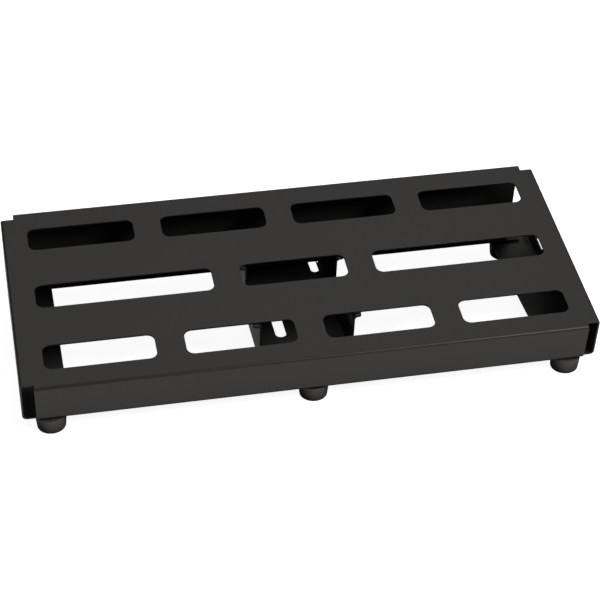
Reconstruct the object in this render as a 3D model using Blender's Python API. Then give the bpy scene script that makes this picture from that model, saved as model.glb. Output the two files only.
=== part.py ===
"""Wedge-shaped pedalboard: one folded sheet deck with eleven slots, a tray bracket under
its middle and six screwed rubber feet. Metres, +Z up, standing on z = 0, front towards -Y."""

from math import cos, pi, radians, sin, sqrt, tan

import bmesh
import bpy
from mathutils import Matrix, Vector

# Deck, in its own frame: X along the length, Y to the rear, Z up out of the top face
LENGTH = 0.6030
FRONT_FACE = 0.1337         # from the middle row of slots to the front and rear faces
REAR_FACE = 0.1363
SHEET = 0.0020
WEDGE = radians(8.53)
FRONT_DROP = 0.0452         # top face down to the front lip's underside, along the front face
TOP_BEND = 0.0030
LIP_BEND = 0.0050
FLANGE_REACH = 0.2875       # half length of the front and rear flanges
SIDE_REACH = 0.1268         # half depth of the side walls
LIP_EDGE = 0.0951           # from the middle row to the edges of the front and rear lips
SIDE_LIP = 0.0485
GAP = 0.0003                # between faces that touch on the real board
BEND_STEPS = 5

# Slots: rows are centred on multiples of ROW_PITCH, lengths are (near, far) from the middle
ROW_PITCH = 0.0904
SLOT_WIDTH = 0.0343
SLOT_CORNER = 0.0083
OUTER_ROW_SLOTS = ((0.0153, 0.1300), (0.1604, 0.2747))
MIDDLE_ROW_SIDE_SLOT = (0.0877, 0.2745)
MIDDLE_ROW_CENTRE_HALF = 0.0570
SIDE_HOLE_LENGTH = 0.0600
SIDE_HOLE_HEIGHT = 0.0200
SIDE_HOLE_CENTRE = (0.0820, -0.0530)

# Tray bracket, in the deck's frame
TRAY_HALF = 0.0503
TRAY_REACH = 0.1100         # half depth of its web at full width
TRAY_WALL_END = 0.0940      # the walls stop short of the end lips
TRAY_FLANGE = 0.0070
TRAY_BEND = 0.0030
TONGUE_HALF = 0.0400        # the web narrows to tongues under the front and rear lips
TONGUE_REACH = 0.1285
CURB = 0.0120               # wall height left where the walls are cut away
TABS = ((-0.0777, -0.0215), (0.0127, 0.0715))
TRAY_SLOTS = ((0.0186, 0.0118, -0.0390, 0.0010), (0.0422, 0.0098, 0.0752, 0.1060))  # x, width, front, rear

# Feet: axis positions on the lips' underside
FOOT_HEIGHT = 0.0175
FOOT_TOP_RADIUS = 0.0162
FOOT_BOTTOM_RADIUS = 0.0145
FOOT_EDGE = 0.0022
RECESS_RADIUS = 0.0056
RECESS_DEPTH = 0.0090
FRONT_FOOT_X = 0.2725
REAR_FOOT_X = 0.2695
FRONT_FOOT_Y = -0.1185
FRONT_MIDDLE_FOOT_Y = -0.1155
REAR_FOOT_Y = 0.1000

# M4 fastening of each foot
SHANK_RADIUS = 0.0019
HOLE_RADIUS = 0.0023
WASHER_RADIUS = 0.0052
WASHER_THICKNESS = 0.0010
HEAD_RADIUS = 0.0038
HEAD_HEIGHT = 0.0024
NUT_ACROSS_FLATS = 0.0070
NUT_HEIGHT = 0.0032
NUT_COLLAR_RADIUS = 0.0030
NUT_COLLAR_HEIGHT = 0.0016
SHANK_PAST_NUT = 0.0010
NUT_SEGMENTS = 18           # three to each flat

SEAT = FOOT_HEIGHT + GAP                      # underside of the lower lips above the floor
INNER_LIP = SEAT + SHEET + GAP                # underside of the front and rear lips
DECK_LIFT = INNER_LIP + FRONT_DROP * cos(WEDGE) + FRONT_FACE * sin(WEDGE)


def clear_scene():
    for obj in list(bpy.data.objects):
        bpy.data.objects.remove(obj, do_unlink=True)


def material(name, colour, roughness, metallic):
    made = bpy.data.materials.new(name)
    made.use_nodes = True
    shader = made.node_tree.nodes["Principled BSDF"]
    shader.inputs["Base Color"].default_value = (*colour, 1.0)
    shader.inputs["Roughness"].default_value = roughness
    shader.inputs["Metallic"].default_value = metallic
    return made


def add_object(name, bm, finish, parent=None):
    mesh = bpy.data.meshes.new(name)
    bm.to_mesh(mesh)
    bm.free()
    obj = bpy.data.objects.new(name, mesh)
    bpy.context.scene.collection.objects.link(obj)
    if finish:
        mesh.materials.append(finish)
    obj.parent = parent
    return obj


def as_cutter(obj, *targets):
    obj.hide_render = True
    obj.display_type = "WIRE"
    for target in targets:
        cut = target.modifiers.new(obj.name, "BOOLEAN")
        cut.operation = "DIFFERENCE"
        cut.solver = "EXACT"
        cut.object = obj


def lip_level(y, lift=0.0):
    """Height in the deck's frame of the level plane that the lips follow, raised by lift."""
    return lift / cos(WEDGE) - FRONT_DROP - tan(WEDGE) * (y + FRONT_FACE)


def filleted(points, radii, steps):
    """The 2-D path with an arc of the given radius at each inner corner."""
    points = [Vector(p) for p in points]
    path = [points[0]]
    for before, corner, after, radius in zip(points, points[1:], points[2:], radii):
        back = (before - corner).normalized()
        on = (after - corner).normalized()
        opening = back.angle(on)
        centre = corner + (back + on).normalized() * radius / sin(opening / 2)
        start = corner + back * radius / tan(opening / 2) - centre
        turn = (pi - opening) * (1 if back.cross(on) < 0 else -1)
        for k in range(steps + 1):
            path.append(centre + Matrix.Rotation(turn * k / steps, 2) @ start)
    path.append(points[-1])
    return [path[0]] + [b for a, b in zip(path, path[1:]) if (b - a).length > 1e-7]


def add_strip(bm, first, second):
    """Quads between two rows of points of equal length."""
    rows = [[bm.verts.new(p) for p in row] for row in (first, second)]
    for a, b, c, d in zip(rows[0], rows[0][1:], rows[1][1:], rows[1]):
        bm.faces.new((a, b, c, d))


def finish_sheet(bm, first_face_up):
    """Merges the strips of a folded sheet and turns its outer side outwards."""
    bmesh.ops.remove_doubles(bm, verts=bm.verts, dist=1e-6)
    bmesh.ops.recalc_face_normals(bm, faces=bm.faces)
    bm.faces.ensure_lookup_table()
    largest = max(bm.faces, key=lambda face: face.calc_area())
    if (largest.normal.z > 0) != first_face_up:
        bmesh.ops.reverse_faces(bm, faces=bm.faces)


def thicken(obj):
    solid = obj.modifiers.new("sheet", "SOLIDIFY")
    solid.thickness = SHEET
    solid.offset = -1.0
    solid.use_even_offset = True


def stepped_plate(bm, inner_x, outer_x, inner_y, outer_y, height):
    """One face in the shape of a plus sign with short arms."""
    quarter = ((inner_x, outer_y), (inner_x, inner_y), (outer_x, inner_y))
    outline = []
    for turn, (sx, sy) in enumerate(((1, 1), (1, -1), (-1, -1), (-1, 1))):
        corner = quarter if turn % 2 == 0 else quarter[::-1]
        outline += [(sx * x, sy * y) for x, y in corner]
    bm.faces.new([bm.verts.new((x, y, height(y))) for x, y in outline])


def end_profile(side):
    """Top bend, flange and lip of the front (side -1) or the rear (side 1), as (y, z)."""
    face = REAR_FACE if side > 0 else -FRONT_FACE
    edge = side * LIP_EDGE
    corners = (
        (side * (FRONT_FACE - TOP_BEND), 0.0),
        (face, 0.0),
        (face, lip_level(face)),
        (edge, lip_level(edge)),
    )
    return filleted(corners, (TOP_BEND, LIP_BEND), BEND_STEPS)


def side_profile(y):
    """Top bend, wall and lip of a long end at depth y, as (x, z) for the +X side."""
    low = lip_level(y, -SHEET - GAP)
    corners = (
        (LENGTH / 2 - TOP_BEND, 0.0),
        (LENGTH / 2, 0.0),
        (LENGTH / 2, low),
        (LENGTH / 2 - SIDE_LIP, low),
    )
    return filleted(corners, (TOP_BEND, LIP_BEND), BEND_STEPS)


def deck_sheet():
    bm = bmesh.new()
    stepped_plate(
        bm, FLANGE_REACH, LENGTH / 2 - TOP_BEND, SIDE_REACH, FRONT_FACE - TOP_BEND, lambda y: 0.0
    )
    for side in (-1, 1):
        ends = [[(x, y, z) for y, z in end_profile(side)] for x in (-FLANGE_REACH, FLANGE_REACH)]
        add_strip(bm, *ends)
        walls = [[(side * x, y, z) for x, z in side_profile(y)] for y in (-SIDE_REACH, SIDE_REACH)]
        add_strip(bm, *walls)
    finish_sheet(bm, True)
    return bm


def tray_profile(y):
    """Half of the tray bracket's section at depth y, as (x, z): web, wall, top flange."""
    low = lip_level(y, -SHEET - GAP)
    high = -2 * SHEET - GAP
    corners = (
        (TRAY_HALF - TRAY_BEND, low),
        (TRAY_HALF, low),
        (TRAY_HALF, high),
        (TRAY_HALF + TRAY_FLANGE, high),
    )
    return filleted(corners, (TRAY_BEND, TRAY_BEND), BEND_STEPS)


def tray_sheet():
    bm = bmesh.new()
    web = TRAY_HALF - TRAY_BEND
    stepped_plate(
        bm, TONGUE_HALF, web, TRAY_REACH, TONGUE_REACH, lambda y: lip_level(y, -SHEET - GAP)
    )
    for side in (-1, 1):
        rows = [[(side * x, y, z) for x, z in tray_profile(y)] for y in (-TRAY_REACH, TRAY_REACH)]
        add_strip(bm, *rows)
    finish_sheet(bm, False)
    return bm


def rounded_outline(length, width, radius, steps):
    """Corner-rounded rectangle about the origin, as (along, across) points."""
    outline = []
    for quarter, (sx, sy) in enumerate(((1, 1), (-1, 1), (-1, -1), (1, -1))):
        centre = Vector((sx * (length / 2 - radius), sy * (width / 2 - radius)))
        for k in range(steps + 1):
            angle = pi / 2 * (quarter + k / steps)
            outline.append(centre + radius * Vector((cos(angle), sin(angle))))
    return [b for a, b in zip(outline[-1:] + outline, outline) if (b - a).length > 1e-7]


def add_prism(bm, outline, low, high):
    """Closed prism between two rows of points made from the outline by low() and high()."""
    bottom = [bm.verts.new(low(p)) for p in outline]
    top = [bm.verts.new(high(p)) for p in outline]
    made = [bm.faces.new(bottom[::-1]), bm.faces.new(top)]
    for k in range(len(outline)):
        after = (k + 1) % len(outline)
        made.append(bm.faces.new((bottom[k], bottom[after], top[after], top[k])))
    bmesh.ops.recalc_face_normals(bm, faces=made)


def slot_places():
    """(centre x, centre y, length) of every slot in the deck."""
    places = []
    for row in (-1, 1):
        for near, far in OUTER_ROW_SLOTS:
            for side in (-1, 1):
                places.append((side * (near + far) / 2, row * ROW_PITCH, far - near))
    near, far = MIDDLE_ROW_SIDE_SLOT
    places += [(side * (near + far) / 2, 0.0, far - near) for side in (-1, 1)]
    places.append((0.0, 0.0, 2 * MIDDLE_ROW_CENTRE_HALF))
    return places


def slot_cutters():
    bm = bmesh.new()
    for x, y, length in slot_places():
        add_prism(
            bm,
            rounded_outline(length, SLOT_WIDTH, SLOT_CORNER, 5),
            lambda p: (x + p.x, y + p.y, -3 * SHEET),
            lambda p: (x + p.x, y + p.y, SHEET),
        )
    return bm


def side_hole_cutters():
    bm = bmesh.new()
    outline = rounded_outline(SIDE_HOLE_LENGTH, SIDE_HOLE_HEIGHT, SIDE_HOLE_HEIGHT / 2, 5)
    y, z = SIDE_HOLE_CENTRE
    for side in (-1, 1):
        inner, outer = side * (LENGTH / 2 - 3 * SHEET), side * (LENGTH / 2 + SHEET)
        add_prism(
            bm,
            outline,
            lambda p: (inner, y + p.x, z + p.y),
            lambda p: (outer, y + p.x, z + p.y),
        )
    return bm


def add_sloped_box(bm, x_range, y_range, lift):
    """Box over a level floor that stands lift above the lips' underside."""
    corners = [Vector((x_range[k in (1, 2)], y_range[k > 1])) for k in range(4)]
    add_prism(
        bm,
        corners,
        lambda p: (p.x, p.y, lip_level(p.y, lift)),
        lambda p: (p.x, p.y, SHEET),
    )


def tray_wall_cutters():
    """Cut-aways that leave the walls full height only at the tabs."""
    bm = bmesh.new()
    half = TRAY_HALF + 2 * TRAY_FLANGE
    edges = [-TRAY_WALL_END - SHEET] + [y for tab in TABS for y in tab] + [TRAY_WALL_END + SHEET]
    for front, rear in zip(edges[::2], edges[1::2]):
        add_sloped_box(bm, (-half, half), (front, rear), CURB)
    return bm


def tray_end_cutters():
    """Clearance for the end lips: no walls at the rear, only the tongue at the front."""
    bm = bmesh.new()
    half = TRAY_HALF + 2 * TRAY_FLANGE
    end = TRAY_REACH + SHEET
    add_sloped_box(bm, (-half, half), (TRAY_WALL_END, end), -GAP)
    for x_range in ((-half, -TONGUE_HALF), (TONGUE_HALF, half)):
        add_sloped_box(bm, x_range, (-end, -TRAY_WALL_END), -4 * SHEET)
    return bm


def tray_slot_cutters():
    bm = bmesh.new()
    for x, width, front, rear in TRAY_SLOTS:
        outline = rounded_outline(width, rear - front, width / 2, 5)
        middle = (front + rear) / 2
        for side in (-1, 1):
            add_prism(
                bm,
                outline,
                lambda p: (side * x + p.x, middle + p.y, lip_level(middle + p.y, -4 * SHEET)),
                lambda p: (side * x + p.x, middle + p.y, lip_level(middle + p.y, 2 * SHEET)),
            )
    return bm


def lathe(profile, segments):
    """Closed solid turned about Z from (radius, z) points that run down its outer side."""
    bm = bmesh.new()
    rings = []
    for radius, z in profile:
        if radius == 0:
            rings.append([bm.verts.new((0, 0, z))])
            continue
        angles = [2 * pi * k / segments for k in range(segments)]
        rings.append([bm.verts.new((radius * cos(a), radius * sin(a), z)) for a in angles])
    pairs = list(zip(rings, rings[1:]))
    if profile[0][0] and profile[-1][0]:
        pairs.append((rings[-1], rings[0]))
    for upper, lower in pairs:
        for k in range(segments):
            after = (k + 1) % segments
            corners = (upper[k % len(upper)], lower[k % len(lower)])
            corners += (lower[after % len(lower)], upper[after % len(upper)])
            bm.faces.new(list(dict.fromkeys(corners)))
    bmesh.ops.recalc_face_normals(bm, faces=bm.faces)
    return bm


def foot_solid():
    """Tapered rubber foot on z = 0, with a recess below for the screw's head."""
    taper = [(FOOT_TOP_RADIUS, FOOT_HEIGHT), (FOOT_BOTTOM_RADIUS, 0.0), (RECESS_RADIUS, 0.0)]
    outer = filleted(taper, (FOOT_EDGE,), 4)
    profile = [(HOLE_RADIUS, FOOT_HEIGHT)] + [(p.x, p.y) for p in outer]
    profile += [(RECESS_RADIUS, RECESS_DEPTH), (HOLE_RADIUS, RECESS_DEPTH)]
    return lathe(profile, 28)


def washer_solid():
    top = RECESS_DEPTH - GAP
    low = top - WASHER_THICKNESS
    outline = ((HOLE_RADIUS, top), (WASHER_RADIUS, top), (WASHER_RADIUS, low), (HOLE_RADIUS, low))
    return lathe(outline, 20)


def screw_solid():
    """Pan-head screw, head down, its shank reaching through the foot, the lips and the nut."""
    head_top = RECESS_DEPTH - WASHER_THICKNESS - 2 * GAP
    head_low = head_top - HEAD_HEIGHT
    end = nut_seat() + NUT_HEIGHT + NUT_COLLAR_HEIGHT + SHANK_PAST_NUT
    chamfer = SHANK_RADIUS / 4
    profile = [
        (0, end),
        (SHANK_RADIUS - chamfer, end),
        (SHANK_RADIUS, end - chamfer),
        (SHANK_RADIUS, head_top),
        (HEAD_RADIUS, head_top),
        (HEAD_RADIUS, head_low + HEAD_HEIGHT / 2),
        (HEAD_RADIUS * 0.75, head_low),
        (0, head_low),
    ]
    return lathe(profile, 16)


def nut_seat():
    return INNER_LIP + SHEET + GAP


def nut_solid():
    """Hexagonal lock nut with a round collar on top."""
    bm = bmesh.new()
    low, flat = nut_seat(), nut_seat() + NUT_HEIGHT
    top = flat + NUT_COLLAR_HEIGHT
    corner = NUT_ACROSS_FLATS / sqrt(3)
    levels = ((corner, low), (corner, flat), (NUT_COLLAR_RADIUS, flat))
    levels += ((NUT_COLLAR_RADIUS, top), (HOLE_RADIUS, top), (HOLE_RADIUS, low))
    rings = []
    for radius, z in levels:
        rings.append([])
        for k in range(NUT_SEGMENTS):
            angle = 2 * pi * k / NUT_SEGMENTS
            reach = radius
            if radius == corner:
                reach = NUT_ACROSS_FLATS / 2 / cos(angle % (pi / 3) - pi / 6)
            rings[-1].append(bm.verts.new((reach * cos(angle), reach * sin(angle), z)))
    for upper, lower in zip(rings, rings[1:] + rings[:1]):
        for k in range(NUT_SEGMENTS):
            after = (k + 1) % NUT_SEGMENTS
            bm.faces.new((upper[k], upper[after], lower[after], lower[k]))
    bmesh.ops.recalc_face_normals(bm, faces=bm.faces)
    return bm


def hole_cutters(places):
    """Vertical holes through the lips and the tray's tongues at the foot axes."""
    bm = bmesh.new()
    circle = rounded_outline(2 * HOLE_RADIUS, 2 * HOLE_RADIUS, HOLE_RADIUS, 4)
    for x, y in places:
        add_prism(
            bm,
            circle,
            lambda p: (x + p.x, y + p.y, SEAT - SHEET),
            lambda p: (x + p.x, y + p.y, nut_seat() + SHEET),
        )
    return bm


def smooth(obj, angle=radians(35)):
    obj.data.shade_smooth()
    obj.data.set_sharp_from_angle(angle=angle)


def foot_places(shift):
    """World (name, x, y) of each foot axis."""
    rows = (
        ("front_left", -FRONT_FOOT_X, FRONT_FOOT_Y),
        ("front_middle", 0.0, FRONT_MIDDLE_FOOT_Y),
        ("front_right", FRONT_FOOT_X, FRONT_FOOT_Y),
        ("rear_left", -REAR_FOOT_X, REAR_FOOT_Y),
        ("rear_middle", 0.0, REAR_FOOT_Y),
        ("rear_right", REAR_FOOT_X, REAR_FOOT_Y),
    )
    return [(name, x, y * cos(WEDGE) - lip_level(y) * sin(WEDGE) + shift) for name, x, y in rows]


def add_foot(place, finishes, parent):
    name, x, y = place
    pieces = (
        ("foot", foot_solid(), finishes["rubber"]),
        ("foot_washer", washer_solid(), finishes["zinc"]),
        ("foot_screw", screw_solid(), finishes["zinc"]),
        ("foot_nut", nut_solid(), finishes["zinc"]),
    )
    for piece, bm, finish in pieces:
        obj = add_object(f"{piece}_{name}", bm, finish, parent)
        obj.location = (x, y, 0)
        smooth(obj)


def main():
    clear_scene()
    finishes = {
        "powder_coat": material("powder_coat_black", (0.036, 0.036, 0.034), 0.42, 0.0),
        "rubber": material("rubber_dark", (0.045, 0.045, 0.043), 0.75, 0.0),
        "zinc": material("zinc_plated_steel", (0.55, 0.55, 0.56), 0.35, 1.0),
    }
    board = bpy.data.objects.new("board", None)
    frame = bpy.data.objects.new("deck_frame", None)
    for empty in (board, frame):
        bpy.context.scene.collection.objects.link(empty)
    frame.parent = board
    frame.rotation_euler = (WEDGE, 0, 0)

    deck = add_object("deck_shell", deck_sheet(), finishes["powder_coat"], frame)
    reach = [v.co.y * cos(WEDGE) - v.co.z * sin(WEDGE) for v in deck.data.vertices]
    shift = -(min(reach) + max(reach)) / 2
    frame.location = (0, shift, DECK_LIFT)
    thicken(deck)
    as_cutter(add_object("slot_cutters", slot_cutters(), None, frame), deck)
    as_cutter(add_object("side_hole_cutters", side_hole_cutters(), None, frame), deck)
    smooth(deck)

    tray = add_object("tray_bracket", tray_sheet(), finishes["powder_coat"], frame)
    thicken(tray)
    for name, cutters in (
        ("tray_wall_cutters", tray_wall_cutters()),
        ("tray_end_cutters", tray_end_cutters()),
        ("tray_slot_cutters", tray_slot_cutters()),
    ):
        as_cutter(add_object(name, cutters, None, frame), tray)
    smooth(tray)

    places = foot_places(shift)
    holes = hole_cutters([(x, y) for _, x, y in places])
    as_cutter(add_object("foot_hole_cutters", holes, None, board), deck, tray)
    for place in places:
        add_foot(place, finishes, board)


main()
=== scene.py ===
from math import cos, pi, radians, sin, tan

import bmesh
import bpy
from mathutils import Matrix, Vector


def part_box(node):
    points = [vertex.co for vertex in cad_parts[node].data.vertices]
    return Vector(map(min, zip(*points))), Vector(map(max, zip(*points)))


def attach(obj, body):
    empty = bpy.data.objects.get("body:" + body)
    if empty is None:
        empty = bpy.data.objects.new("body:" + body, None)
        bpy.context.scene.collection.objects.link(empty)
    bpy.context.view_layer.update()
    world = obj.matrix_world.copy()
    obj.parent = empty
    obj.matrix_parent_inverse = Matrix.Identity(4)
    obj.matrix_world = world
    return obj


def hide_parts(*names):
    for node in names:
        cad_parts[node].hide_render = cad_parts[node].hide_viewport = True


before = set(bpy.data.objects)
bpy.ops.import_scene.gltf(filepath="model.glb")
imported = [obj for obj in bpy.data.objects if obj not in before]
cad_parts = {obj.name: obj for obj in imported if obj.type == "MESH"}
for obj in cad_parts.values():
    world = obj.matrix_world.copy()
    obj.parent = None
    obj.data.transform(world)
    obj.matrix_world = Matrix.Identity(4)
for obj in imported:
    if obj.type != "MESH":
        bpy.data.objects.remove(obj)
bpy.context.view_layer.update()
print("frame loaded:", len(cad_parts), "nodes")


# node trees: Wire wraps a socket and does its maths, Graph adds the nodes

class Wire:
    def __init__(self, graph, socket):
        self.graph = graph
        self.socket = socket

    def math(self, operation, first, second):
        return self.graph.node("ShaderNodeMath", {"operation": operation}, {0: first, 1: second})

    def __add__(self, other):
        return self.math("ADD", self, other)

    def __sub__(self, other):
        return self.math("SUBTRACT", self, other)

    def __rsub__(self, other):
        return self.math("SUBTRACT", other, self)

    def __mul__(self, other):
        return self.math("MULTIPLY", self, other)

    def __truediv__(self, other):
        return self.math("DIVIDE", self, other)

    def __gt__(self, other):
        return self.math("GREATER_THAN", self, other)

    __radd__ = __add__
    __rmul__ = __mul__


class Graph:
    def __init__(self, tree):
        self.tree = tree

    def feed(self, socket, value):
        for one in value if isinstance(value, list) else [value]:
            if isinstance(one, Wire):
                self.tree.links.new(one.socket, socket)
            else:
                socket.default_value = one

    def node(self, kind, settings=None, sockets=None, result=0):
        made = self.tree.nodes.new(kind)
        for key, value in (settings or {}).items():
            setattr(made, key, value)
        for key, value in (sockets or {}).items():
            self.feed(made.inputs[key], value)
        return Wire(self, made.outputs[result])

    def pick(self, kind, values):  # the value that stands at the point's own index
        made = self.tree.nodes.new("GeometryNodeIndexSwitch")
        made.data_type = kind
        while len(made.index_switch_items) < len(values):
            made.index_switch_items.new()
        self.feed(made.inputs["Index"], self.node("GeometryNodeInputIndex"))
        for number, value in enumerate(values):
            self.feed(made.inputs[str(number)], value)
        return Wire(self, made.outputs[0])

    def vector(self, x, y, z):
        return self.node("ShaderNodeCombineXYZ", None, {"X": x, "Y": y, "Z": z})

    def mixColour(self, factor, first, second):
        colours = {0: factor, 6: (*first, 1), 7: (*second, 1)}
        return self.node("ShaderNodeMix", {"data_type": "RGBA"}, colours, 2)


def newTree(name, inputs):
    kinds = {float: "NodeSocketFloat", int: "NodeSocketInt", None: "NodeSocketMaterial"}
    tree = bpy.data.node_groups.new(name, "GeometryNodeTree")
    tree.interface.new_socket("Geometry", in_out="INPUT", socket_type="NodeSocketGeometry")
    for label, kind in inputs.items():
        tree.interface.new_socket(label, in_out="INPUT", socket_type=kinds[kind])
    tree.interface.new_socket("Geometry", in_out="OUTPUT", socket_type="NodeSocketGeometry")
    graph = Graph(tree)
    entry = tree.nodes.new("NodeGroupInput")
    return graph, {socket.name: Wire(graph, socket) for socket in entry.outputs if socket.name}


def closeTree(graph, geometry, material):
    real = graph.node("GeometryNodeRealizeInstances", None, {"Geometry": geometry})
    done = graph.node("GeometryNodeSetMaterial", None, {"Geometry": real, "Material": material})
    leave = graph.tree.nodes.new("NodeGroupOutput")
    graph.feed(leave.inputs["Geometry"], done)
    return graph.tree


def newObject(name, mesh):
    obj = bpy.data.objects.new(name, mesh)
    bpy.context.scene.collection.objects.link(obj)
    return obj


def throughTree(mesh, tree, values):  # the mesh that the tree makes of this one
    obj = newObject(tree.name, mesh)
    modifier = obj.modifiers.new(tree.name, "NODES")
    modifier.node_group = tree
    for item in tree.interface.items_tree:
        if item.in_out == "INPUT" and item.name in values:
            modifier[item.identifier] = values[item.name]
    return settled(obj)


def settled(obj):  # the object's evaluated mesh, and the object gone
    graph = bpy.context.evaluated_depsgraph_get()
    mesh = bpy.data.meshes.new_from_object(obj.evaluated_get(graph), depsgraph=graph)
    bpy.data.objects.remove(obj)
    return mesh


def addPiece(name, mesh, material, nodes):
    mesh.name = name
    mesh.materials.clear()
    mesh.materials.append(material)
    piece = newObject(name, mesh)
    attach(piece, "root")
    if nodes:
        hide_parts(*nodes)
    print("piece", name, len(mesh.polygons), "faces")
    return piece


# materials

def newMaterial(name, colour, roughness, metallic):
    made = bpy.data.materials.new(name)
    made.use_nodes = True
    graph = Graph(made.node_tree)
    shader = made.node_tree.nodes["Principled BSDF"]
    shader.inputs["Base Color"].default_value = (*colour, 1)
    shader.inputs["Roughness"].default_value = roughness
    shader.inputs["Metallic"].default_value = metallic
    return made, graph, shader.inputs


def noise(graph, size, detail=2.0, roughness=0.5, stretch=(1, 1, 1)):  # size of one lump in metres
    place = graph.node("ShaderNodeTexCoord", result=3)
    scaled = graph.node("ShaderNodeMapping", None, {"Vector": place, "Scale": stretch})
    sockets = {"Vector": scaled, "Scale": 1 / size, "Detail": detail, "Roughness": roughness}
    return graph.node("ShaderNodeTexNoise", None, sockets)


def bump(graph, height, depth):
    return graph.node("ShaderNodeBump", None, {"Height": height, "Distance": depth, "Strength": 1.0})


powderCoatLook = {
    "colour": (0.016, 0.0158, 0.0148),
    "paler": (0.022, 0.0217, 0.0205),
    "roughness": 0.44,
    "grain": 0.0007,  # one lump of the powder's orange peel
    "grainDepth": 0.000018,
    "cloud": 0.09,
}


def powderCoat():
    look = powderCoatLook
    made, graph, sockets = newMaterial("powderCoat", look["colour"], look["roughness"], 0.0)
    cloud = noise(graph, look["cloud"], 3.0)
    speck = noise(graph, look["grain"], 2.0, 0.6)
    tint = graph.mixColour(0.35 * cloud + 0.65 * speck, look["colour"], look["paler"])
    graph.feed(sockets["Base Color"], tint)
    graph.feed(sockets["Roughness"], look["roughness"] - 0.04 + 0.05 * cloud + 0.05 * speck)
    peel = speck + 0.8 * noise(graph, 3 * look["grain"], 1.0)
    graph.feed(sockets["Normal"], bump(graph, peel, look["grainDepth"]))
    return made


rubberLook = {
    "colour": (0.060, 0.060, 0.057),
    "worn": (0.086, 0.085, 0.081),
    "roughness": 0.62,
    "grain": 0.0006,
    "grainDepth": 0.00003,
    "dust": 0.006,
}


def rubber():
    look = rubberLook
    made, graph, sockets = newMaterial("moulded rubber", look["colour"], look["roughness"], 0.0)
    fine = noise(graph, look["grain"], 3.0, 0.65)
    dust = noise(graph, look["dust"], 4.0, 0.7)
    graph.feed(sockets["Base Color"], graph.mixColour(dust, look["colour"], look["worn"]))
    graph.feed(sockets["Roughness"], look["roughness"] + 0.16 * dust)
    graph.feed(sockets["Normal"], bump(graph, fine, look["grainDepth"]))
    return made


zincLook = {
    "colour": (0.56, 0.57, 0.58),
    "dull": (0.36, 0.36, 0.35),
    "roughness": 0.30,
    "bloom": 0.0018,
    "grain": 0.0003,  # fine rings left by the turning
    "grainDepth": 0.000012,
}


def zinc():
    look = zincLook
    made, graph, sockets = newMaterial("zinc plate", look["colour"], look["roughness"], 1.0)
    bloom = noise(graph, look["bloom"], 4.0, 0.6)
    turned = noise(graph, look["grain"], 2.0, 0.5, (1, 1, 6))
    graph.feed(sockets["Base Color"], graph.mixColour(bloom, look["colour"], look["dull"]))
    graph.feed(sockets["Roughness"], look["roughness"] - 0.08 + 0.22 * bloom)
    graph.feed(sockets["Normal"], bump(graph, turned, look["grainDepth"]))
    return made


coat, footRubber, plating = powderCoat(), rubber(), zinc()
print("materials made")

# folded sheets: the deck and the tray share the sheet, its bends and the wedge

sheet = {
    "thickness": 0.0020,
    "wedge": radians(8.53),  # slope of the top
    "gap": 0.0003,  # between neighbouring sheets
    "topBend": 0.0030,
    "lipBend": 0.0050,
    "bendSteps": 9,
    "edgeRadius": 0.00045,
    "edgeSteps": 3,
    "rim": 0.0016,  # band of narrow faces round each hole
    "cornerSteps": 10,
    "weld": 2e-6,
}
deck = {
    "frontFace": 0.1337,  # from the middle row of slots
    "rearFace": 0.1363,
    "lipEdge": 0.0951,
    "frontDrop": 0.0452,
    "flangeReach": 0.2875,  # half length of the front and rear flanges
    "sideReach": 0.1268,  # half depth of the side walls
    "sideLip": 0.0485,
    "rowPitch": 0.0904,
    "slotWidth": 0.0343,
    "slotCorner": 0.0083,
    "outerRowSlots": ((0.0153, 0.1300), (0.1604, 0.2747)),  # (near, far) from the middle
    "middleRowSlot": (0.0877, 0.2745),
    "middleRowCentre": 0.0570,
    "sideHole": (0.0600, 0.0200),
    "sideHoleCentre": (0.0820, -0.0530),
    "screwHole": 0.0046,
}
wedge, bendSteps = sheet["wedge"], sheet["bendSteps"]
deckLow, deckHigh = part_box("deck_shell")
halfLength = (deckHigh.x - deckLow.x) / 2
flatFront, flatRear = deck["frontFace"] - sheet["topBend"], deck["rearFace"] - sheet["topBend"]
lift = deckHigh.z - flatRear * sin(wedge) - sheet["topBend"] * (1 - cos(wedge))
shift = deckLow.y + flatFront * cos(wedge) + sheet["topBend"] * (1 - sin(wedge))
toBoard = Matrix.Translation((0, shift, lift)) @ Matrix.Rotation(wedge, 4, "X")
toDeck = toBoard.inverted()
level = Vector((0, cos(wedge), -sin(wedge)))  # the board's level Y, seen from the tilted deck
footNames = [f"{end}_{side}" for end in ("front", "rear") for side in ("left", "middle", "right")]


def middleOf(node):
    low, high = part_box(node)
    return (low + high) / 2


def lipHeight(y, above=0.0):
    return above / cos(wedge) - deck["frontDrop"] - tan(wedge) * (y + deck["frontFace"])


def filleted(points, radii, steps):
    points = [Vector(p) for p in points]
    path = [points[0]]
    for before, corner, after, radius in zip(points, points[1:], points[2:], radii):
        back, on = (before - corner).normalized(), (after - corner).normalized()
        opening = back.angle(on)
        centre = corner + (back + on).normalized() * radius / sin(opening / 2)
        start = corner + back * radius / tan(opening / 2) - centre
        turn = (pi - opening) * (1 if back.cross(on) < 0 else -1)
        path += [centre + Matrix.Rotation(turn * k / steps, 2) @ start for k in range(steps + 1)]
    path.append(points[-1])
    return [path[0]] + [b for a, b in zip(path, path[1:]) if (b - a).length > 1e-7]


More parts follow.
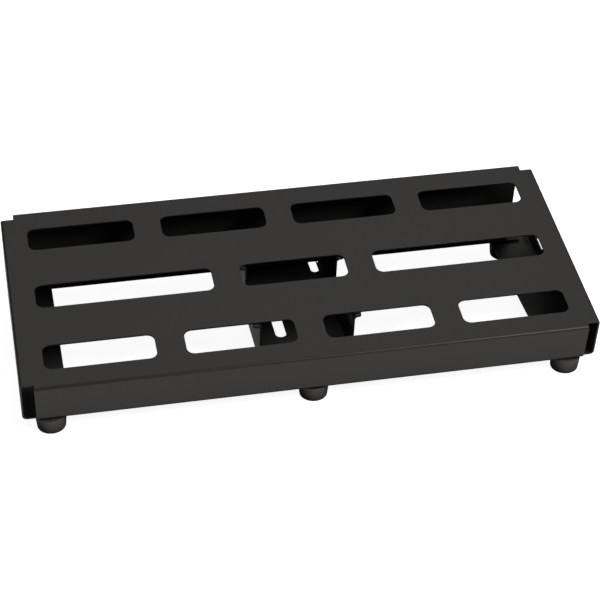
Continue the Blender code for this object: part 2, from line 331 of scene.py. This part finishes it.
def perforator():  # a flat panel: its outline is the mesh's edges, each loose point a hole
    graph, given = newTree("perforated panel", {"Rim": float, "Corner steps": int, "Material": None})

    def attribute(name):
        return graph.node("GeometryNodeInputNamedAttribute", {"data_type": "FLOAT"}, {"Name": name})

    outline = graph.node("GeometryNodeMeshToCurve", None, {"Mesh": given["Geometry"]})
    square = graph.node("GeometryNodeCurvePrimitiveQuadrilateral", None, {"Width": 1.0, "Height": 1.0})

    def holes(grown):
        size = graph.vector(attribute("holeLength") + 2 * grown, attribute("holeWidth") + 2 * grown, 1.0)
        placed = graph.node("GeometryNodeInstanceOnPoints", None, {
            "Points": given["Geometry"], "Selection": attribute("holeLength") > 0.0,
            "Instance": square, "Scale": size})
        real = graph.node("GeometryNodeRealizeInstances", None, {"Geometry": placed})
        return graph.node("GeometryNodeFilletCurve", {"mode": "POLY"}, {
            "Curve": real, "Count": given["Corner steps"],
            "Radius": attribute("holeCorner") + grown, "Limit Radius": True})

    edges, rims = holes(given["Rim"] * 0), holes(given["Rim"])
    filled = []
    for loops in ([outline, rims], [rims, edges]):
        joined = graph.node("GeometryNodeJoinGeometry", None, {"Geometry": loops})
        filled.append(graph.node("GeometryNodeFillCurve", {"mode": "TRIANGLES"}, {"Curve": joined}))
    whole = graph.node("GeometryNodeJoinGeometry", None, {"Geometry": filled})
    merged = graph.node("GeometryNodeMergeByDistance", None, {"Geometry": whole, "Distance": 1e-5})
    return closeTree(graph, merged, given["Material"])


panelTree = perforator()


def addPanel(bm, corners, holes, along, across, rim=sheet["rim"]):
    place = Matrix((along, across, along.cross(across))).transposed().to_4x4()
    place.translation = sum(corners, Vector()) / len(corners)
    flat = [place.inverted() @ p for p in corners + [hole[0] for hole in holes]]
    mesh = bpy.data.meshes.new("panel")
    count = len(corners)
    mesh.from_pydata(flat, [(k, (k + 1) % count) for k in range(count)], [])
    for number, name in enumerate(("holeLength", "holeWidth", "holeCorner"), 1):
        values = [0.0] * count + [hole[number] for hole in holes]
        mesh.attributes.new(name, "FLOAT", "POINT").data.foreach_set("value", values)
    values = {"Rim": rim, "Corner steps": sheet["cornerSteps"], "Material": coat}
    made = throughTree(mesh, panelTree, values)
    made.transform(place)
    bm.from_mesh(made)


def addStrip(bm, first, second, skipped=()):
    rows = [[bm.verts.new(p) for p in row] for row in (first, second)]
    for k in range(len(first) - 1):
        if k not in skipped:
            bm.faces.new((rows[0][k], rows[0][k + 1], rows[1][k + 1], rows[1][k]))


def sheetMesh(bm, name, skinUp):  # skin to solid sheet: thickness, rounded cut edges, even shading
    bmesh.ops.remove_doubles(bm, verts=bm.verts, dist=sheet["weld"])
    loose = [v for v in bm.verts if not v.link_faces]
    bmesh.ops.delete(bm, geom=loose, context="VERTS")
    bmesh.ops.recalc_face_normals(bm, faces=bm.faces)
    outer = max(bm.faces, key=lambda face: face.calc_center_median().z * skinUp)
    if outer.normal.z * skinUp < 0:
        bmesh.ops.reverse_faces(bm, faces=bm.faces)
    bm.transform(toBoard)
    mesh = bpy.data.meshes.new(name)
    bm.to_mesh(mesh)
    bm.free()
    mesh.shade_smooth()
    obj = newObject(name, mesh)
    wall = obj.modifiers.new("wall", "SOLIDIFY")
    wall.thickness, wall.offset, wall.use_even_offset = sheet["thickness"], -1.0, True
    edge = obj.modifiers.new("edge", "BEVEL")
    edge.width, edge.segments, edge.limit_method = sheet["edgeRadius"], sheet["edgeSteps"], "ANGLE"
    edge.angle_limit = radians(60)
    obj.modifiers.new("shading", "WEIGHTED_NORMAL").weight = 90
    return settled(obj)


def endProfile(side):  # top bend, flange and lip of the front (-1) or the rear (1), as (y, z)
    face, edge = deck["rearFace"] if side > 0 else -deck["frontFace"], side * deck["lipEdge"]
    flat = flatRear if side > 0 else -flatFront
    corners = ((flat, 0), (face, 0), (face, lipHeight(face)), (edge, lipHeight(edge)))
    return filleted(corners, (sheet["topBend"], sheet["lipBend"]), bendSteps)


def sideProfile(y):  # the same of a side wall at depth y, as (x, z)
    low = lipHeight(y, -sheet["thickness"] - sheet["gap"])
    inner = halfLength - deck["sideLip"]
    corners = ((halfLength - sheet["topBend"], 0), (halfLength, 0), (halfLength, low), (inner, low))
    return filleted(corners, (sheet["topBend"], sheet["lipBend"]), bendSteps)


def deckSlots():
    width, corner = deck["slotWidth"], deck["slotCorner"]
    spans = [(near, far, row) for near, far in deck["outerRowSlots"] for row in (-1, 1)]
    spans.append((*deck["middleRowSlot"], 0))
    slots = [(Vector((0, 0, 0)), 2 * deck["middleRowCentre"], width, corner)]
    for near, far, row in spans:
        for side in (-1, 1):
            centre = Vector((side * (near + far) / 2, row * deck["rowPitch"], 0))
            slots.append((centre, far - near, width, corner))
    return slots


def screwHoles(names, above):  # holes on the foot axes, in the level plane that stands above the lips
    holes = []
    for name in names:
        foot = toDeck @ middleOf("foot_" + name)
        axis = toDeck.to_3x3() @ Vector((0, 0, 1))
        reach = (lipHeight(foot.y, above) - foot.z) / (axis.z + tan(wedge) * axis.y)
        holes.append((foot + reach * axis, deck["screwHole"], deck["screwHole"], deck["screwHole"] / 2))
    return holes


def buildDeck():
    bm = bmesh.new()
    right, up = Vector((1, 0, 0)), Vector((0, 0, 1))
    reachX, reachY = deck["flangeReach"], deck["sideReach"]
    outX = halfLength - sheet["topBend"]
    outline = []
    for turn, (sideX, sideY) in enumerate(((1, 1), (1, -1), (-1, -1), (-1, 1))):
        outY = flatRear if sideY > 0 else flatFront
        quarter = [(reachX, outY), (reachX, reachY), (outX, reachY)][::1 if turn % 2 == 0 else -1]
        outline += [Vector((sideX * x, sideY * y, 0)) for x, y in quarter]
    addPanel(bm, outline, deckSlots(), right, Vector((0, 1, 0)))
    wallSpan, lipSpan = bendSteps, 2 * bendSteps + 1
    for side, names in ((-1, footNames[:3]), (1, footNames[3:])):
        rows = [[Vector((x, y, z)) for y, z in endProfile(side)] for x in (-reachX, reachX)]
        addStrip(bm, *rows, (lipSpan,))
        lip = [rows[0][lipSpan], rows[0][lipSpan + 1], rows[1][lipSpan + 1], rows[1][lipSpan]]
        addPanel(bm, lip, screwHoles(names, 0.0), right, level)
    for side in (-1, 1):
        rows = [[Vector((side * x, y, z)) for x, z in sideProfile(y)] for y in (-reachY, reachY)]
        addStrip(bm, *rows, (wallSpan,))
        wall = [rows[0][wallSpan], rows[0][wallSpan + 1], rows[1][wallSpan + 1], rows[1][wallSpan]]
        long, high = deck["sideHole"]
        hole = (Vector((side * halfLength, *deck["sideHoleCentre"])), long, high, high / 2)
        addPanel(bm, wall, [hole], Vector((0, side, 0)), up)
    return sheetMesh(bm, "deckShell", 1)


deckPiece = addPiece("deckShell", buildDeck(), coat, ["deck_shell"])

# tray bracket under the middle: a level web, walls that stand full height only at their tabs

tray = {
    "half": 0.0503,
    "reach": 0.1100,  # half depth of the web at full width
    "wallEnd": 0.0940,
    "flange": 0.0070,
    "bend": 0.0030,
    "flangeCorner": 0.0030,
    "cornerSteps": 5,
    "tongueHalf": 0.0400,
    "tongueReach": 0.1285,
    "curb": 0.0120,
    "tabs": ((-0.0777, -0.0215), (0.0127, 0.0715)),
    "slots": (  # x, width, front, rear
        (0.0186, 0.0118, -0.0390, 0.0010),
        (0.0419, 0.0092, 0.0752, 0.1060),
    ),
    "rim": 0.0004,  # the rear slots run close to the bend
}


def trayPath(y, side, inward):  # a row across web edge, wall and flange, whose corner turns inward
    low = lipHeight(y, -sheet["thickness"] - sheet["gap"])
    high = -2 * sheet["thickness"] - sheet["gap"]
    half, bend, corner, steps = (tray[key] for key in ("half", "bend", "flangeCorner", "cornerSteps"))
    flat = half + tray["flange"] - corner
    corners = ((half - bend, low), (half, low), (half, high), (flat, high))
    path = filleted(corners, (bend, bend), bendSteps)
    path.insert(bendSteps + 1, Vector((half, lipHeight(y, tray["curb"]))))
    row = [Vector((side * x, y, z)) for x, z in path]
    for k in range(1, steps + 1):
        turn = pi / 2 * k / steps
        row.append(Vector((side * (flat + corner * sin(turn)), y + inward * corner * (1 - cos(turn)), high)))
    return row


def buildTray():
    bm = bmesh.new()
    under = -sheet["thickness"] - sheet["gap"]
    web, tongue = tray["half"] - tray["bend"], tray["tongueHalf"]
    rows = [(-tray["wallEnd"], 0, False)]  # (y, inward, whether a tab follows)
    for front, rear in tray["tabs"]:
        rows += [(front, 1, True), (rear, -1, False)]
    rows.append((tray["wallEnd"], 0, False))
    edge = [(tongue, -tray["tongueReach"]), (tongue, -tray["wallEnd"])] + [(web, y) for y, *_ in rows]
    edge += [(web, tray["reach"]), (tongue, tray["reach"]), (tongue, tray["tongueReach"])]
    outline = [Vector((x, y, lipHeight(y, under))) for x, y in edge]
    outline += [Vector((-x, y, lipHeight(y, under))) for x, y in edge[::-1]]
    holes = screwHoles([footNames[1], footNames[4]], under)
    for x, width, front, rear in tray["slots"]:
        centre = (front + rear) / 2
        for side in (-1, 1):
            at = Vector((side * x, centre, lipHeight(centre, under)))
            holes.append((at, width, (rear - front) / cos(wedge), width / 2))
    addPanel(bm, outline, holes, Vector((1, 0, 0)), level, tray["rim"])
    curb = bendSteps + 1
    for side in (-1, 1):
        paths = [trayPath(y, side, inward) for y, inward, _ in rows]
        for first, second, (_, _, tab) in zip(paths, paths[1:], rows):
            addStrip(bm, first, second, () if tab else range(curb, len(first)))
    return sheetMesh(bm, "trayBracket", -1)


trayPiece = addPiece("trayBracket", buildTray(), coat, ["tray_bracket"])

# feet and their fastenings, one of each made once and put on the six foot axes

foot = {
    "height": 0.0175,
    "topRadius": 0.0162,
    "bottomRadius": 0.0145,
    "topEdge": 0.0005,
    "bottomEdge": 0.0022,
    "hole": 0.0046,
    "recess": 0.0112,
    "recessDepth": 0.0090,
    "recessEdge": 0.0006,
    "segments": 72,
}
washer = {
    "top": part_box("foot_washer_front_left")[1].z,
    "thickness": 0.0010,
    "outer": 0.0104,
    "hole": 0.0046,
    "edge": 0.00018,
    "segments": 64,
}
screw = {
    "headTop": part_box("foot_screw_front_left")[0].z + 0.0024,
    "end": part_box("foot_screw_front_left")[1].z,
    "headHeight": 0.0024,
    "head": 0.0076,
    "headEdge": 0.0003,
    "headRound": 0.0011,
    "shank": 0.0038,
    "endBevel": 0.0005,
    "threadDepth": 0.00025,
    "threadStart": 0.0004,
    "pitch": 0.0007,
    "crossLength": 0.0042,
    "crossWidth": 0.0010,
    "crossDepth": 0.0013,
    "segments": 48,
}
screwTurns = 9
nut = {
    "seat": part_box("foot_nut_front_left")[0].z,
    "height": 0.0032,
    "flats": 0.0070,
    "hole": 0.0046,
    "chamfer": 0.0005,
    "collar": 0.0060,
    "collarHeight": 0.0016,
    "collarEdge": 0.0006,
    "segments": 48,
}


def lathed(graph, points, fillets, segments):  # closed (radius, height) section turned about the upright axis
    spin = 0.001
    places = [graph.vector(radius - spin, 0.0 - height, 0.0) for radius, height in points]
    spots = graph.pick("VECTOR", places)
    dots = graph.node("GeometryNodePoints", None, {"Count": len(points), "Position": spots})
    line = graph.node("GeometryNodePointsToCurves", None, {"Points": dots})
    ring = graph.node("GeometryNodeSetSplineCyclic", None, {"Geometry": line, "Cyclic": True})
    if any(fillets):
        ring = graph.node("GeometryNodeFilletCurve", {"mode": "POLY"}, {
            "Curve": ring, "Count": 5, "Radius": graph.pick("FLOAT", fillets), "Limit Radius": True})
    path = graph.node("GeometryNodeCurvePrimitiveCircle", None, {"Resolution": segments, "Radius": spin})
    turned = graph.node("GeometryNodeCurveToMesh", None, {"Curve": path, "Profile Curve": ring})
    return graph.node("GeometryNodeMergeByDistance", None, {"Geometry": turned, "Distance": 1e-6})


def cut(graph, operation, first, others):
    settings = {"operation": operation, "solver": "EXACT"}
    if operation == "DIFFERENCE":
        return graph.node("GeometryNodeMeshBoolean", settings, {0: first, 1: others})
    return graph.node("GeometryNodeMeshBoolean", settings, {1: [first, *others]})


def ontoFeet(name, sizes, build):  # the piece that build() makes, on every foot axis
    inputs = {key: int if key == "segments" else float for key in sizes}
    graph, given = newTree(name, inputs | {"Material": None})
    settings = {"Points": given["Geometry"], "Instance": build(graph, given)}
    spread = graph.node("GeometryNodeInstanceOnPoints", None, settings)
    return closeTree(graph, spread, given["Material"])


def footSection(graph, given):
    hole, recess = given["hole"] / 2, given["recess"] / 2
    points = [(hole, given["height"]), (given["topRadius"], given["height"]), (given["bottomRadius"], 0.0),
              (recess, 0.0), (recess, given["recessDepth"]), (hole, given["recessDepth"])]
    fillets = [0.0, given["topEdge"], given["bottomEdge"], given["recessEdge"], 0.0, 0.0]
    return lathed(graph, points, fillets, given["segments"])


def washerSection(graph, given):
    inner, outer, low = given["hole"] / 2, given["outer"] / 2, given["top"] - given["thickness"]
    points = [(inner, given["top"]), (outer, given["top"]), (outer, low), (inner, low)]
    return lathed(graph, points, [given["edge"]] * 4, given["segments"])


def screwSolid(graph, given):
    shank, head, end = given["shank"] / 2, given["head"] / 2, given["end"]
    under = given["headTop"] - given["headHeight"]
    points, fillets = [(0.0, end), (shank - given["endBevel"], end)], [0.0, 0.0]
    for k in range(2 * screwTurns):  # crests and roots, from the end down
        depth = given["threadDepth"] * (0.0 if k % 2 == 0 else 1.0)
        points.append((shank - depth, end - given["threadStart"] - given["pitch"] * (k / 2)))
        fillets.append(0.0)
    points += [(shank, given["headTop"]), (head, given["headTop"]), (head * 0.86, under), (0.0, under)]
    fillets += [0.0, given["headEdge"], given["headRound"], 0.0]
    solid = lathed(graph, points, fillets, given["segments"])
    arms = []
    for size in ((given["crossLength"], given["crossWidth"]), (given["crossWidth"], given["crossLength"])):
        arm = graph.node("GeometryNodeMeshCube", None, {"Size": graph.vector(*size, given["crossDepth"] * 2)})
        arms.append(graph.node("GeometryNodeTransform", None, {
            "Geometry": arm, "Translation": graph.vector(0.0, 0.0, under)}))
    return cut(graph, "DIFFERENCE", solid, arms)


def nutSolid(graph, given):
    hole, corner, low = given["hole"] / 2, given["flats"] / 3 ** 0.5, given["seat"]
    flat, chamfer, collar = low + given["height"], given["chamfer"], given["collar"] / 2
    past, bury = 0.001, 0.0002  # so no two faces of a boolean coincide
    inner = given["flats"] / 2 * 0.98
    prism = [(0.0, flat + past), (corner, flat + past), (corner, low - past), (0.0, low - past)]
    body = [(hole, flat), (inner, flat), (corner, flat - chamfer), (corner, low + chamfer),
            (inner, low), (hole, low)]
    hexagon = cut(graph, "INTERSECT", lathed(graph, prism, [0.0] * 4, 6),
                  [lathed(graph, body, [0.0] * 6, given["segments"])])
    top = flat + given["collarHeight"]
    section = [(hole, top), (collar, top), (collar, flat - bury), (hole, flat - bury)]
    ring = lathed(graph, section, [0.0, given["collarEdge"], 0.0, 0.0], given["segments"])
    return cut(graph, "UNION", hexagon, [ring])


def addFastenings():
    axes = [middleOf("foot_" + name) for name in footNames]
    pieces = (
        ("rubberFeet", "foot", foot, footSection, footRubber, "rubber"),
        ("footWashers", "foot_washer", washer, washerSection, plating, "zinc"),
        ("footScrews", "foot_screw", screw, screwSolid, plating, "zinc"),
        ("footLockNuts", "foot_nut", nut, nutSolid, plating, "zinc"),
    )
    for name, node, sizes, build, material, slot in pieces:
        points = bpy.data.meshes.new(name)
        points.from_pydata([(at.x, at.y, 0) for at in axes], [], [])
        mesh = throughTree(points, ontoFeet(name, sizes, build), sizes | {"Material": material})
        mesh.shade_smooth()
        mesh.set_sharp_from_angle(angle=radians(32))
        addPiece(name, mesh, material, [f"{node}_{place}" for place in footNames])


addFastenings()

# studio: a plain pale floor, soft light, the camera

studio = {
    "floor": (0.80, 0.80, 0.80),
    "floorGlow": 0.92,  # keeps the floor pale where the board shades it
    "floorHalf": 15.0,
    "backdrop": 1.0,
    "bounce": 0.72,
    "warmth": (1.0, 0.99, 0.955),
    "lens": 108.656,
    "place": (-0.31197, -1.57844, 1.16306),
    "turn": (55.094, -0.389, -11.199),
}
softBoxes = (  # name, place, size, watts
    ("overhead", (0.1, 0.9, 1.9), (2.6, 1.4), 10.4),
    ("front", (-0.5, -2.2, 1.5), (2.0, 1.2), 1.5),
    ("front right", (1.1, -1.25, 1.65), (0.8, 0.6), 26.0),
    ("rear", (0.6, 2.6, 0.9), (2.4, 0.8), 8.0),
)
bounces = (  # the pale floor's own light on each side of the board: place, size
    ((0.0, -0.541), (1.8, 0.8)),
    ((0.0, 0.541), (1.8, 0.8)),
    ((-0.62, 0.0), (0.6, 0.32)),
    ((0.62, 0.0), (0.6, 0.32)),
)
kicker = {  # grazes the tray's left wall from below
    "place": (-0.097, 0.239, -0.153),
    "toward": (0.133, -0.811, 0.570),
    "size": (0.06, 0.20),
    "watts": 0.0025,
    "spread": radians(50),
}


def addFloor():
    half = studio["floorHalf"]
    mesh = bpy.data.meshes.new("floor")
    corners = [(x * half, y * half, 0) for x, y in ((-1, -1), (1, -1), (1, 1), (-1, 1))]
    mesh.from_pydata(corners, [], [(0, 1, 2, 3)])
    made, _, sockets = newMaterial("pale floor", studio["floor"], 0.85, 0.0)
    sockets["Emission Color"].default_value = (1, 1, 1, 1)
    sockets["Emission Strength"].default_value = studio["floorGlow"]
    mesh.materials.append(made)
    floor = newObject("floor", mesh)
    floor.visible_diffuse = floor.visible_glossy = False  # the board stays dark underneath
    floor.visible_shadow = False  # and the kicker shines up through it


def facing(direction):
    return Vector(direction).to_track_quat("-Z", "Y").to_euler()


def addLamp(name, place, size, watts, turn):
    lamp = bpy.data.lights.new(name, "AREA")
    lamp.shape, lamp.size, lamp.size_y, lamp.energy = "RECTANGLE", *size, watts
    lamp.color = studio["warmth"]
    obj = newObject(name, lamp)
    obj.location, obj.rotation_euler = place, turn
    obj.visible_camera = False
    return lamp


def addLights():
    world = bpy.data.worlds.new("studio")
    world.use_nodes = True
    sky = world.node_tree.nodes["Background"].inputs
    sky["Color"].default_value = (1, 1, 1, 1)
    sky["Strength"].default_value = studio["backdrop"]
    world.cycles_visibility.diffuse = world.cycles_visibility.glossy = False
    bpy.context.scene.world = world
    for name, place, size, watts in softBoxes:
        addLamp(name, place, size, watts, facing(-Vector(place)))
    for number, (place, size) in enumerate(bounces, 1):
        watts = studio["bounce"] * pi * size[0] * size[1]
        addLamp(f"floor bounce {number}", (*place, 0.001), size, watts, (pi, 0, 0))
    turn = facing(kicker["toward"])
    addLamp("kicker", kicker["place"], kicker["size"], kicker["watts"], turn).spread = kicker["spread"]


def addCamera():
    camera = bpy.data.cameras.new("camera")
    camera.lens = studio["lens"]
    obj = newObject("camera", camera)
    obj.location = studio["place"]
    obj.rotation_euler = [radians(angle) for angle in studio["turn"]]
    bpy.context.scene.camera = obj


addFloor()
addLights()
addCamera()
bpy.context.scene.view_settings.view_transform = "Standard"
print("studio set")
